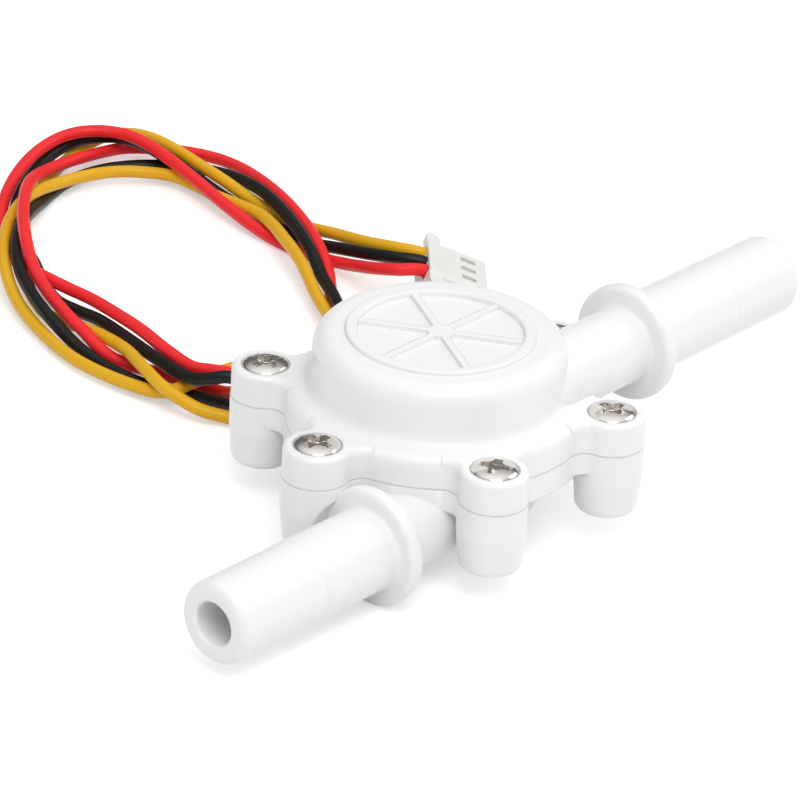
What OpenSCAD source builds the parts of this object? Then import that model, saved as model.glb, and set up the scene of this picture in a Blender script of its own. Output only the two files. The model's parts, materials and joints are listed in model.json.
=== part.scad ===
/* [Tube stems] */
// Outside diameter of both tube stems
stem_d = 8; // [7:0.1:9]
// Diameter of the water passage through both stems
bore_d = 4.2; // [3:0.1:5]
// Length of the inlet stem beyond its collar
inlet_stem_l = 20.2; // [12:0.1:30]
// Length of the outlet stem beyond its collar
outlet_stem_l = 20.8; // [12:0.1:30]
// Distance from the rotor axis to the inner face of the inlet collar
inlet_reach = 15.6; // [15:0.1:20]
// Distance from the rotor axis to the inner face of the outlet collar
outlet_reach = 18; // [17:0.1:24]
// Diameter of both collars
collar_d = 11.4; // [10.8:0.1:12.4]
// Thickness of both collars
collar_t = 1.6; // [1.2:0.1:2.4]
// Diameter of the necks that join the collars to the housing
neck_d = 7.5; // [6.6:0.1:8]
// Radius of the rounded stem ends
tip_r = 0.8; // [0.3:0.1:1.2]
// Radius of the rounded collar edges
collar_edge_r = 0.5; // [0.2:0.1:0.6]
// Radius of the fillets at the foot of each collar
collar_fillet_r = 0.4; // [0.2:0.1:0.8]
// Depth that the inlet axis lies below the boss tops
inlet_drop = 7.7; // [7.2:0.1:9]
// Height of the outlet axis above the boss tops
outlet_rise = 1; // [0.6:0.1:1.6]

/* [Housing] */
// Radius of the circle that the six bosses stand on
boss_circle_r = 16.5; // [16:0.1:18]
// Diameter of the bosses on the cover
boss_d = 6.4; // [6:0.1:7]
// How far the base stands out past the cover all round
base_lip = 0.05; // [0.02:0.01:0.2]
// Radius of the round flange between the bosses
flange_r = 14.2; // [13.6:0.1:14.6]
// Radius of the hollow corners between flange and bosses
corner_r = 1.6; // [1:0.1:2.4]
// Thickness of the cover's flange
cover_flange_t = 3.2; // [2.6:0.1:4]
// Thickness of the base's flange
base_flange_t = 3; // [2.4:0.1:4]
// Radius of the rounded flange edge between the bosses
flange_edge_r = 1; // [0.4:0.1:1.2]
// Radius of the rounded edge on top of the bosses
boss_edge_r = 0.45; // [0.2:0.05:0.6]
// Height of the bosses from foot to top
boss_h = 10; // [9:0.1:11]
// Taper of each boss leg, on the radius
leg_taper = 0.25; // [0.1:0.05:0.4]
// Radius of the rounded boss feet
foot_edge_r = 0.9; // [0.4:0.1:1.2]
// Chamfer that shows as the line where cover and base meet
seam = 0.1; // [0.05:0.01:0.2]

/* [Cover dome] */
// Outside radius of the dome
dome_r = 11.9; // [11.6:0.1:12.2]
// Height of the dome above the flange
dome_h = 5.8; // [5:0.1:7]
// Radius of the dome's rounded shoulder
shoulder_r = 1.8; // [1:0.1:2.4]
// Radius of the hollow fillet at the foot of the dome
dome_foot_r = 1.1; // [0.5:0.1:1.4]
// Outside radius of the raised ring on the dome
ring_r = 8.9; // [8:0.1:9.4]
// Width of the raised ring
ring_w = 1.1; // [0.8:0.1:1.6]
// Height of the raised ring
ring_h = 0.35; // [0.2:0.05:0.6]
// Depth of the panes inside the ring
pane_depth = 0.15; // [0.05:0.05:0.3]
// Width of the six spokes
spoke_w = 0.75; // [0.4:0.05:1]
// Height of the spokes above the panes
spoke_h = 0.3; // [0.15:0.05:0.5]
// Radius of the hub where the spokes meet
spoke_hub_r = 1.3; // [0.6:0.1:1.6]
// Thickness of the dome's roof
roof_t = 1.7; // [1.4:0.1:2.2]
// Thickness of the dome's side wall
dome_wall_t = 2.5; // [2.2:0.1:2.8]

/* [Base body] */
// Inside radius of the rotor chamber in the base
chamber_r = 8.4; // [8:0.1:8.6]
// Thickness of the chamber wall in the base
base_wall_t = 1.6; // [1.2:0.1:2]
// Thickness of the chamber floor
floor_t = 1.3; // [1:0.1:1.6]
// Radius of the rounded lower edge of the base
body_edge_r = 1.2; // [0.4:0.1:1.6]
// Radius of the bearing boss under the base
bearing_boss_r = 5.6; // [4.5:0.1:7]
// Radius of the cover's locating spigot
spigot_r = 10.05; // [9.9:0.05:10.2]
// Depth of the locating spigot
spigot_h = 0.9; // [0.6:0.1:1.2]
// Clearance round the spigot and under it
spigot_gap = 0.1; // [0.06:0.01:0.2]

/* [Seal ring] */
// Wall between the spigot's recess and the seal's groove
seal_wall_t = 0.56; // [0.5:0.02:0.7]
// Width of the squeezed seal ring
seal_w = 1.3; // [1:0.05:1.4]
// Height of the squeezed seal ring
seal_h = 1.1; // [0.8:0.05:1.2]

/* [Cover screws] */
// Diameter of the screw heads
head_d = 4.4; // [4:0.1:4.6]
// Height of the straight rim of the head
head_rim_h = 0.2; // [0.1:0.05:0.4]
// Height of the domed part of the head
head_dome_h = 0.6; // [0.4:0.05:0.9]
// Thread diameter
thread_d = 2.6; // [2.4:0.1:2.8]
// Length of the shank under the head
shank_l = 8.5; // [7:0.1:9]
// Depth of the seat that each head sits in
seat_depth = 0.35; // [0.2:0.05:0.6]
// Clearance round each head in its seat
head_gap = 0.12; // [0.06:0.01:0.2]
// Clearance round each shank in the cover
shank_gap = 0.15; // [0.1:0.01:0.3]
// Width of the cross slot
cross_w = 0.95; // [0.6:0.05:1.1]
// Length of each cross slot from tip to tip
cross_l = 2.9; // [2:0.1:3.2]
// Depth of the cross recess
cross_depth = 0.75; // [0.4:0.05:1]

/* [Rotor] */
// Shaft diameter
shaft_d = 1.5; // [1.2:0.1:1.8]
// Running clearance round the shaft, on the radius
shaft_gap = 0.05; // [0.03:0.01:0.08]
// Depth that each shaft end sits in its seat
shaft_seat = 1; // [0.8:0.1:1.2]
// Radius of the two shaft seats
seat_r = 1.7; // [1.4:0.1:2]
// Height of the shaft seats above floor and below roof
seat_h = 0.9; // [0.7:0.1:1.2]
// Thickness of the two thrust washers
washer_t = 0.3; // [0.2:0.05:0.5]
// Radius of the two thrust washers
washer_r = 1.6; // [1.3:0.1:2]
// End play left between washers and rotor, at each end
end_play = 0.15; // [0.1:0.01:0.3]
// Radius of the rotor hub
hub_r = 2.1; // [1.8:0.1:2.6]
// Radius of the rotor blades
blade_r = 7.6; // [7:0.1:7.8]
// Thickness of each blade
blade_t = 0.8; // [0.6:0.1:1.2]
// Number of blades
blade_n = 8; // [5:1:10]
// Height of the blades
blade_h = 4.6; // [4:0.1:5.2]
// Thickness of the rotor disc that carries the magnet
disc_t = 2.2; // [2:0.1:2.6]
// Radius of the rotor disc
disc_r = 7.2; // [7:0.1:7.6]
// Outside radius of the ring magnet
magnet_r = 6.4; // [6:0.1:6.6]
// Radial width of the ring magnet
magnet_w = 1.8; // [1.4:0.1:2.2]
// Height of the ring magnet
magnet_h = 1.4; // [1.2:0.1:1.6]
// Clearance round the ring magnet in its groove
magnet_gap = 0.05; // [0.03:0.01:0.1]

/* [Sensor pocket] */
// Width of the pocket's opening
pocket_w = 7.8; // [7:0.1:8.4]
// Height of the pocket's opening
pocket_h = 4.6; // [4.2:0.1:4.8]
// Wall round the pocket
pocket_wall_t = 1; // [0.8:0.1:1.4]
// Distance from the rotor axis to the mouth of the pocket
pocket_reach = 16; // [15.2:0.1:17]
// Thickness of the circuit board
board_t = 0.8; // [0.6:0.1:1]
// Clearance round the circuit board
board_gap = 0.2; // [0.1:0.05:0.4]
// Distance of the board's front face from the back of the pocket
board_stand_off = 2.2; // [1.9:0.1:2.6]
// Width of the sensor chip
chip_w = 4; // [3.6:0.1:4.4]
// Thickness of the sensor chip
chip_t = 1.5; // [1.3:0.1:1.7]
// Height of the sensor chip
chip_h = 2.6; // [2.2:0.1:2.8]
// Depth that the potting lies back from the mouth of the pocket
potting_recess = 0.3; // [0.1:0.1:0.8]

/* [Wires and connector] */
// Outside diameter of each wire
wire_d = 1.3; // [1.1:0.1:1.5]
// Distance between the wires where they leave the potting
wire_pitch = 2; // [1.8:0.1:2.4]
// Height of the wires at the potting
wire_exit_z = 6; // [5:0.1:6.6]
// Distance between the terminals in the connector
pin_pitch = 2; // [1.9:0.02:2.2]
// Width of the connector housing across its terminals
plug_w = 7.2; // [6.8:0.1:7.8]
// Thickness of the connector housing
plug_t = 3.5; // [3:0.1:4.5]
// Distance from the wires to the broad face with the windows
plug_top_t = 1.1; // [1:0.05:1.4]
// Length of the connector housing
plug_l = 6.4; // [6:0.1:8]
// Width of each square terminal cavity
cavity_w = 1.5; // [1.42:0.02:1.6]
// Reach of the finger ears at the rear of the connector
ear_h = 2.2; // [1:0.1:2.6]
// Length of the finger ears
ear_l = 1.5; // [1:0.1:2]
// Width of each terminal
terminal_w = 1.3; // [1.1:0.05:1.35]
// Length of each terminal
terminal_l = 4.4; // [4:0.1:4.8]
// Diameter of the hole for the mating pin in each terminal
pin_hole_d = 0.7; // [0.5:0.05:0.8]

/* [Hidden] */
$fn = 96;
// Overlap that joins pieces of one solid
bite = 0.2;
// Radius of the softened mouth of each passage
mouth_r = 0.3;
// Distance from the rotor axis at which the nozzles begin to narrow, clear of the blades
nozzle_l = 6;
// Share of the passage's radius that is left at the nozzles' narrow ends
nozzle_share = 0.6;
// Radius of the rounded edges of the raised ring
ring_edge_r = 0.2;
// Overlap of the hollow corners with the plate and the bosses that they join
corner_bite = 0.02;
// Free space that the bosses leave round the inlet stem, for a hose or a fitting
sleeve_gap = 1.2;
// Small chamfer on hidden edges
edge_c = 0.3;
// Height of the webs' underside above that of the base's flange
web_rise = 0.9;
// Distance from the rotor axis at which both stems begin, inside the walls
stem_root = 2;
// Clearance on each side of the seal ring
seal_gap = 0.04;
// Cut-back of the inner corners of the cross recess, and the share of its width at each tip
cross_corner = 0.28;
cross_narrowing = 0.8;
// Length and inset of the screws' tapered tips, and the free depth below them
tip_l = 0.8;
tip_inset = 0.5;
tip_gap = 0.3;
// Chip legs, and the length and width of the two small parts beside them
chip_pitch = 1.27;
leg_w = 0.4;
leg_setback = 0.35;
small_part_l = 1.6;
small_part_w = 0.8;
small_part_gap = 0.1;
// Wire that leaves the potting straight, and how far it sinks on the way
exit_l = 3.3;
exit_drop = 0.2;
// Direction of one slot of each cross recess
cross_turn = [20, -4, 0, 25, -3, 50];
// The connector lies with its nose on the surface, turned and with its rear end raised
plug_yaw = -46;
plug_dip = 22;
// Length, width and distance from the nose of the three windows over the terminals
window_l = 1.6;
window_w = 0.8;
window_set = 1.2;
// Thickness of the finger ears
ear_t = 0.9;
// Sides of each wire's tube
wire_sides = 8;
// Depth of the terminals behind the nose
terminal_set = 0.8;
// Length of wire that leaves the connector straight
plug_exit = 0.5;

// Levels, upward from the surface that the sensor stands on
stem_r = stem_d / 2;
bore_r = bore_d / 2;
nozzle_r = nozzle_share * bore_r;
collar_r = collar_d / 2;
neck_r = neck_d / 2;
inlet_z = collar_r;
top_z = inlet_z + inlet_drop;
outlet_z = top_z + outlet_rise;
split_z = top_z - cover_flange_t;
base_flange_z = split_z - base_flange_t;
foot_z = top_z - boss_h;
floor_z = inlet_z - bore_r - 0.1;
body_z = floor_z - floor_t;
body_r = chamber_r + base_wall_t;
dome_z = top_z + dome_h;
pane_z = dome_z - pane_depth;
ring_in_r = ring_r - ring_w;
roof_z = dome_z - roof_t;
dome_in_r = dome_r - dome_wall_t;
// The stems run half way between two bosses
stem_y = -boss_circle_r * sin(60) / 2;
boss_r = boss_d / 2;
inlet_tip = inlet_reach + collar_t + inlet_stem_l;
outlet_tip = outlet_reach + collar_t + outlet_stem_l;

// Screws and their seats
seat_z = top_z - seat_depth;
head_r = head_d / 2;
screw_seat_r = head_r + head_gap;
thread_r = thread_d / 2;

// The seal lies round the spigot, in a groove with its own wall
seal_r = spigot_r + spigot_gap + seal_wall_t + seal_gap;

// Rotor levels
shaft_r = shaft_d / 2;
hub_bore_r = shaft_r + shaft_gap;
lower_seat_z = floor_z + seat_h;
upper_seat_z = roof_z - seat_h;
hub_z = lower_seat_z + washer_t + end_play;
hub_top_z = upper_seat_z - washer_t - end_play;
blade_z = hub_z + 0.2;
disc_z = blade_z + blade_h;
disc_top_z = disc_z + disc_t;
magnet_z = disc_top_z - magnet_h;

// Pocket, board and potting, on the side away from the stems
pocket_back = body_r + 0.4;
pocket_z = wire_exit_z - pocket_h / 2;
board_y = pocket_back + board_stand_off;
board_w = pocket_w - 2 * board_gap;
board_h = pocket_h - 2 * board_gap;
board_z = pocket_z + board_gap;
chip_y = board_y - leg_setback - chip_t;
chip_z = board_z + board_h - chip_h - 2 * small_part_gap;
potting_y = board_y + board_t;
wire_y = pocket_reach - potting_recess;

// Connector and terminals
plug_at = [32.5, 30.2, plug_l * sin(plug_dip) + (plug_t - plug_top_t) * cos(plug_dip)];
terminal_x = plug_l - terminal_set - terminal_l;

// Point in the connector's own frame, x along it and y across the row, in the part's frame
function plug_point(x, y) = plug_at
    + [x * cos(plug_dip) * cos(plug_yaw) - y * sin(plug_yaw),
        x * cos(plug_dip) * sin(plug_yaw) + y * cos(plug_yaw),
        -x * sin(plug_dip)];

// Route of each wire between the potting and the connector: one turn of a loose loop on the
// surface, a bend behind the housing and a second turn back over and under the first
red_route = [
    [0.6, 25.53, 2.7], [1.63, 27.42, 1.8], [2.12, 29.5, 0.94], [1.07, 35.49, 0.74],
    [-0.31, 41.66, 0.79], [-0.39, 44.11, 1.39], [-0.1, 46.22, 2.09], [0.28, 48.21, 2.43],
    [0.9, 50.3, 2.69], [2.28, 53.71, 2.87], [4.01, 57.19, 3.18], [5.71, 59.93, 3.86],
    [7.67, 62.57, 4.53], [10.33, 65.58, 4.77], [13.42, 68.51, 4.71], [17.39, 71.78, 4.06],
    [21.97, 74.27, 2.88], [28.83, 75.67, 1.81], [35.04, 75.31, 1.12], [37.27, 73.7, 0.96],
    [38.81, 71.51, 0.96], [39.99, 69.2, 0.98], [40.57, 66.62, 1.07], [40.11, 63.07, 1.43],
    [38.91, 59.24, 1.84], [37.03, 54.5, 2.21], [34.74, 49.8, 2.45], [32.42, 45.71, 2.53],
    [30, 41.97, 2.35], [28.06, 39.3, 1.85], [25.84, 36.86, 1.31], [22.6, 34.02, 0.71],
    [18.92, 31.23, 0.7], [14.99, 28.29, 0.77], [10.95, 26.1, 0.9], [7.28, 25.49, 1.29],
    [4.02, 25.78, 1.98], [2.34, 26.51, 3.09], [1.15, 27.7, 4.01], [0.52, 29.48, 3.87],
    [0.42, 31.72, 3.39], [1.27, 36.14, 3.3], [2.62, 41.04, 3.28], [3.91, 45.79, 2.88],
    [4.98, 50.34, 2.46], [5.23, 53.76, 2.29], [5.35, 56.99, 2.27], [5.63, 59.82, 2.16],
    [6.39, 62.51, 1.84], [7.94, 65.38, 1.62], [9.93, 68.12, 1.61], [12.01, 70.49, 1.87],
    [14.42, 72.62, 2.24], [17.74, 74.88, 2.63], [21.37, 76.73, 2.98], [24.98, 78.06, 3.12],
    [28.32, 78.52, 3.28], [30.33, 77.82, 3.56], [31.94, 76.58, 3.68], [33.06, 75.1, 3.69],
    [33.74, 73.28, 3.64], [33.79, 70.44, 3.48], [33.41, 67.31, 3.2], [33, 64.07, 2.73],
    [32.44, 60.76, 2.24], [31.71, 57.07, 1.78], [31.16, 53.4, 1.32], [31.07, 50.29, 0.87],
    [31.07, 47.14, 0.7], [30.91, 42.83, 1.09], [30.44, 38.69, 2.06], [29.59, 36.14, 3.03],
    [28.89, 33.88, 3.91], [28.71, 32.08, 4.52], [28.96, 30.56, 4.91]];
black_route = [
    [0.45, 24.16, 1.87], [0.62, 25.93, 1.03], [0.72, 27.85, 0.7], [-0.43, 31.7, 0.7],
    [-1.93, 35.59, 0.75], [-2.21, 38.18, 0.76], [-2.16, 40.67, 0.79], [-1.89, 43.26, 0.86],
    [-1.46, 45.84, 1.1], [-1.16, 48.32, 1.79], [-0.66, 50.86, 2.49], [0.75, 54.24, 2.78],
    [2.61, 57.6, 2.92], [4.6, 60.46, 3.17], [6.91, 63.03, 3.33], [9.4, 65.16, 3.38],
    [12.14, 67.13, 3.01], [15.63, 69.54, 2.03], [19.21, 71.71, 1.11], [22.22, 73.16, 0.76],
    [25.25, 73.96, 0.75], [28.21, 73.96, 0.75], [31.04, 73.21, 0.77], [33.76, 71.49, 0.79],
    [35.97, 69.18, 0.84], [37.26, 66.92, 0.94], [37.89, 64.37, 1.17], [37.53, 60.88, 1.71],
    [36.43, 57.13, 2.31], [34.52, 52.58, 2.7], [32.25, 48.2, 2.88], [30.39, 45.01, 2.94],
    [28.57, 42.16, 2.88], [27.26, 40.23, 2.68], [25.84, 38.2, 2.52], [22.8, 33.62, 2.76],
    [18.97, 29.02, 3.02], [14.52, 25.68, 2.46], [9.94, 23.59, 1.88], [6.27, 23.18, 2.29],
    [3.01, 23.73, 2.97], [1.23, 24.96, 3.9], [-0.17, 26.54, 4.5], [-1.06, 28.03, 4.05],
    [-1.48, 29.8, 3.49], [-1.13, 32.59, 3.22], [-0.19, 35.9, 2.87], [1.75, 41.79, 2.22],
    [3.53, 47.78, 1.56], [3.96, 51.32, 1.14], [4.5, 54.57, 0.83], [5.93, 57.88, 0.99],
    [7.57, 61.1, 1.79], [9.28, 64.44, 2.02], [11.38, 67.55, 1.81], [13.92, 70.43, 1.64],
    [16.77, 72.98, 1.58], [19.74, 75.09, 1.56], [22.84, 76.8, 1.61], [25.87, 78.06, 1.69],
    [28.78, 78.63, 1.93], [31.02, 78.24, 2.26], [32.9, 77.18, 2.4], [33.97, 75.73, 2.62],
    [34.63, 73.92, 2.65], [34.94, 71.34, 2.45], [34.96, 68.49, 2.08], [35.07, 65.16, 1.43],
    [34.93, 61.65, 0.82], [34.31, 57.54, 0.7], [33.68, 53.53, 0.73], [33.43, 50.5, 0.7],
    [33.18, 47.62, 0.7], [32.75, 44.88, 1.29], [32.21, 42.2, 2.14], [31.57, 39.3, 3.04],
    [31.08, 36.47, 3.85], [30.91, 34.28, 4.45], [31.06, 32.39, 4.85]];
yellow_route = [
    [3.47, 25.27, 4.05], [3.96, 27.49, 3.54], [3.99, 29.33, 3.03], [2.39, 30.97, 2.13],
    [-0.02, 31.29, 2.04], [-2.31, 31.87, 1.74], [-3.11, 33.22, 1.38], [-3.55, 35.03, 1.29],
    [-3.95, 38.92, 1.21], [-3.82, 43.19, 1.16], [-3.08, 46.71, 1.11], [-2.02, 50.05, 1.14],
    [-0.99, 53.09, 1.37], [0.23, 55.95, 1.71], [1.66, 58.53, 2.17], [3.35, 60.98, 2.6],
    [5.48, 63.47, 2.82], [7.99, 65.8, 2.98], [11.37, 68.35, 3.12], [15.09, 70.46, 2.97],
    [18.76, 71.83, 2.54], [22.43, 72.47, 2.04], [25.92, 72.23, 1.79], [29.1, 71.16, 1.65],
    [31.63, 69.15, 1.52], [33.36, 66.53, 1.42], [33.67, 63.51, 1.32], [33.4, 60.25, 1.3],
    [33.1, 56.59, 1.63], [32.42, 52.96, 2.03], [30.92, 49.66, 2.43], [29.13, 46.55, 2.72],
    [27.75, 43.97, 2.76], [26.3, 41.44, 2.68], [24.48, 38.68, 2.46], [22.5, 35.69, 2.23],
    [19.71, 30.76, 1.86], [16.43, 26.12, 1.44], [12.77, 23.27, 1.1], [8.81, 21.52, 0.81],
    [4.99, 21.07, 0.73], [1.62, 21.72, 0.71], [-0.06, 23.33, 0.74], [-1.22, 25.27, 0.93],
    [-2.73, 27.53, 1.41], [-3.45, 29.47, 2.04], [-3.7, 31.76, 2.66], [-2.32, 35.7, 2.75],
    [-0.36, 39.96, 2.38], [0.99, 44.12, 1.77], [1.76, 48.04, 1.15], [1.53, 50.42, 1],
    [1.44, 52.69, 0.91], [2.82, 55.96, 0.8], [5, 59.26, 0.7], [7.83, 62.81, 0.7],
    [11.13, 66.09, 0.7], [14.27, 69.3, 0.7], [17.52, 72.16, 0.7], [20.56, 74.05, 0.7],
    [23.74, 75.61, 0.71], [27.4, 77.4, 0.7], [30.94, 78.59, 0.71], [33.44, 78.64, 1.18],
    [35.45, 77.87, 1.72], [36.45, 75.77, 2.22], [36.82, 73, 2.52], [36.78, 69.55, 2.42],
    [36.45, 65.86, 2.12], [36.04, 61.75, 1.8], [35.56, 57.69, 1.35], [35.54, 54.5, 0.83],
    [35.56, 51.38, 0.7], [34.96, 47.8, 1.4], [34.17, 44.26, 2.39], [33.4, 41.05, 3.22],
    [32.79, 38.04, 3.99], [32.55, 35.83, 4.54], [32.63, 33.91, 4.9]];

// Whole route: straight out of the potting at one end and out of the connector at the other
function wire_points(side, route) = concat(
    [[side * wire_pitch, wire_y, wire_exit_z], [side * wire_pitch, wire_y + exit_l, wire_exit_z - exit_drop]],
    route,
    [plug_point(-plug_exit, side * pin_pitch), plug_point(terminal_x, side * pin_pitch)]);

// Points of an arc from angle a to angle b round a centre
function arc(c, r, a, b, n = 8) =
    [for (i = [0 : n]) c + r * [cos(a + (b - a) * i / n), sin(a + (b - a) * i / n)]];

// Webs that fill the hollow corners between a round plate and the six bosses. Each is cut back
// round two corner centres, with a chamfer below and a rounded edge above, where these aren't 0.
module webs(plate_r, knob_r, z_low, z_high, chamfer, edge_r) {
    to_corner = plate_r + corner_r - corner_bite;
    knob_to_corner = knob_r + corner_r - corner_bite;
    phi = acos((boss_circle_r ^ 2 + to_corner ^ 2 - knob_to_corner ^ 2)
        / (2 * boss_circle_r * to_corner));
    left = to_corner * [cos(phi), sin(phi)];
    right = to_corner * [cos(phi), -sin(phi)];
    for (k = [1 : 6])
        rotate([0, 0, 60 * k])
            difference() {
                translate([0, 0, z_low])
                    linear_extrude(z_high - z_low)
                        polygon([0.8 * left, 0.8 * right, right, [boss_circle_r, 0], left]);
                for (c = [left, right])
                    translate(c)
                        rotate_extrude()
                            polygon(concat(
                                [[0, z_low - bite], [corner_r + chamfer, z_low - bite]],
                                chamfer > 0
                                    ? [[corner_r + chamfer, z_low], [corner_r, z_low + chamfer]]
                                    : [],
                                edge_r > 0
                                    ? arc([corner_r + edge_r, z_high - edge_r], edge_r, 180, 90, 5)
                                    : [],
                                [[corner_r + edge_r, z_high + bite], [0, z_high + bite]]));
            }
}

// Six copies round the rotor axis
module round_bosses() {
    for (k = [1 : 6])
        rotate([0, 0, 60 * k]) translate([boss_circle_r, 0, 0]) children();
}

// Stem, collar and neck turned in one profile along +X, from start on the axis to tip
module stem(start, reach, tip) {
    rotate([0, 90, 0])
        rotate_extrude()
            polygon(concat(
                [[0, start], [neck_r, start]],
                arc([neck_r + collar_fillet_r, reach - collar_fillet_r], collar_fillet_r, 180, 90, 4),
                arc([collar_r - collar_edge_r, reach + collar_edge_r], collar_edge_r, -90, 0, 5),
                arc([collar_r - collar_edge_r, reach + collar_t - collar_edge_r], collar_edge_r, 0, 90, 5),
                arc([stem_r + collar_fillet_r, reach + collar_t + collar_fillet_r],
                    collar_fillet_r, -90, -180, 4),
                arc([stem_r - tip_r, tip - tip_r], tip_r, 0, 90, 8),
                [[0, tip]]));
}

// Water passage with a softened mouth, which narrows to a nozzle where it meets the chamber
module passage(tip) {
    rotate([0, 90, 0]) {
        cylinder(r1 = nozzle_r, r2 = bore_r, h = nozzle_l);
        translate([0, 0, nozzle_l]) cylinder(r = bore_r, h = tip - nozzle_l + bite);
        rotate_extrude()
            polygon(concat(
                [[0, tip + bite], [0, tip - mouth_r], [bore_r - bite, tip - mouth_r]],
                arc([bore_r + mouth_r, tip - mouth_r], mouth_r, 180, 90, 4),
                [[bore_r + mouth_r, tip + bite]]));
    }
}

module inlet_side() {
    translate([0, stem_y, inlet_z]) mirror([1, 0, 0]) children();
}

module outlet_side() {
    translate([0, stem_y, outlet_z]) children();
}

// The base with nothing hollowed out
module base_outside() {
    plate_r = flange_r + base_lip;
    knob_r = boss_r + base_lip;
    rotate_extrude()
        polygon(concat(
            [[0, 0], [bearing_boss_r - edge_c, 0], [bearing_boss_r, edge_c], [bearing_boss_r, body_z]],
            arc([body_r - body_edge_r, body_z + body_edge_r], body_edge_r, -90, 0, 6),
            [[body_r, base_flange_z], [plate_r - 2 * edge_c, base_flange_z],
                [plate_r, base_flange_z + 2 * edge_c],
                [plate_r, split_z], [0, split_z]]));
    difference() {
        round_bosses()
            rotate_extrude()
                polygon(concat(
                    [[0, foot_z]],
                    arc([knob_r - leg_taper - foot_edge_r, foot_z + foot_edge_r],
                        foot_edge_r, -90, 0, 6),
                    [[knob_r, base_flange_z], [knob_r, split_z], [0, split_z]]));
        inlet_side()
            rotate([0, 90, 0])
                translate([0, 0, inlet_reach + collar_t])
                    cylinder(r = stem_r + sleeve_gap, h = inlet_stem_l);
    }
    webs(plate_r, knob_r, base_flange_z + web_rise, split_z, 0, 0);
    inlet_side() stem(stem_root, inlet_reach, inlet_tip);
    translate([-pocket_w / 2 - pocket_wall_t, chamber_r - 1, pocket_z - pocket_wall_t])
        cube([pocket_w + 2 * pocket_wall_t, pocket_reach - chamber_r + 1,
            split_z - pocket_z + pocket_wall_t - 1]);
}

module base_housing() {
    color("whitesmoke")
        difference() {
            union() {
                difference() {
                    base_outside();
                    translate([0, 0, floor_z]) cylinder(r = chamber_r, h = split_z);
                }
                translate([0, 0, floor_z - bite]) cylinder(r = seat_r, h = seat_h + bite);
            }
            translate([0, 0, lower_seat_z - shaft_seat]) cylinder(r = shaft_r, h = split_z);
            translate([0, 0, split_z - spigot_h - spigot_gap])
                cylinder(r = spigot_r + spigot_gap, h = split_z);
            translate([0, 0, split_z - seal_h])
                difference() {
                    cylinder(r = seal_r + seal_w + seal_gap, h = split_z);
                    translate([0, 0, -bite]) cylinder(r = seal_r - seal_gap, h = split_z + 2 * bite);
                }
            round_bosses()
                translate([0, 0, seat_z - shank_l - tip_gap]) cylinder(r = thread_r, h = top_z);
            inlet_side() passage(inlet_tip);
            translate([-pocket_w / 2, pocket_back, pocket_z])
                cube([pocket_w, pocket_reach, pocket_h]);
        }
}

// The cover with nothing hollowed out
module cover_outside() {
    rotate_extrude()
        polygon(concat(
            [[0, split_z - spigot_h], [spigot_r, split_z - spigot_h], [spigot_r, split_z],
                [flange_r - seam, split_z], [flange_r, split_z + seam]],
            arc([flange_r - flange_edge_r, top_z - flange_edge_r], flange_edge_r, 0, 90, 6),
            arc([dome_r + dome_foot_r, top_z + dome_foot_r], dome_foot_r, -90, -180, 6),
            arc([dome_r - shoulder_r, dome_z - shoulder_r], shoulder_r, 0, 90, 8),
            [[ring_r, dome_z]],
            arc([ring_r - ring_edge_r, dome_z + ring_h - ring_edge_r], ring_edge_r, 0, 90, 3),
            arc([ring_in_r + ring_edge_r, dome_z + ring_h - ring_edge_r], ring_edge_r, 90, 180, 3),
            [[ring_in_r, pane_z], [0, pane_z]]));
    round_bosses()
        rotate_extrude()
            polygon(concat(
                [[0, split_z], [boss_r - seam, split_z], [boss_r, split_z + seam]],
                arc([boss_r - boss_edge_r, top_z - boss_edge_r], boss_edge_r, 0, 90, 5),
                [[0, top_z]]));
    webs(flange_r, boss_r, split_z, top_z, seam, (flange_edge_r + boss_edge_r) / 2);
    outlet_side() stem(stem_root, outlet_reach, outlet_tip);
}

module top_cover() {
    color("white")
        difference() {
            union() {
                difference() {
                    cover_outside();
                    translate([0, 0, split_z - spigot_h - bite])
                        cylinder(r = dome_in_r, h = roof_z - split_z + spigot_h + bite);
                }
                translate([0, 0, upper_seat_z]) cylinder(r = seat_r, h = seat_h + bite);
                spokes();
            }
            translate([0, 0, upper_seat_z - bite]) cylinder(r = shaft_r, h = shaft_seat + bite);
            round_bosses() {
                translate([0, 0, seat_z]) cylinder(r = screw_seat_r, h = boss_h);
                translate([0, 0, foot_z]) cylinder(r = thread_r + shank_gap, h = boss_h);
            }
            outlet_side() passage(outlet_tip);
        }
}

// Six ribs and their hub, raised above the panes
module spokes() {
    translate([0, 0, pane_z - bite]) {
        cylinder(r = spoke_hub_r, h = spoke_h + bite);
        for (k = [0 : 2])
            rotate([0, 0, 60 * k])
                translate([-ring_in_r - bite, -spoke_w / 2, 0])
                    cube([2 * (ring_in_r + bite), spoke_w, spoke_h + bite]);
    }
}

module seal_ring() {
    c = edge_c;
    color("dimgray")
        translate([0, 0, split_z - seal_h])
            rotate_extrude()
                polygon([[seal_r + c, 0], [seal_r + seal_w - c, 0], [seal_r + seal_w, c],
                    [seal_r + seal_w, seal_h - c], [seal_r + seal_w - c, seal_h],
                    [seal_r + c, seal_h], [seal_r, seal_h - c], [seal_r, c]]);
}

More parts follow.
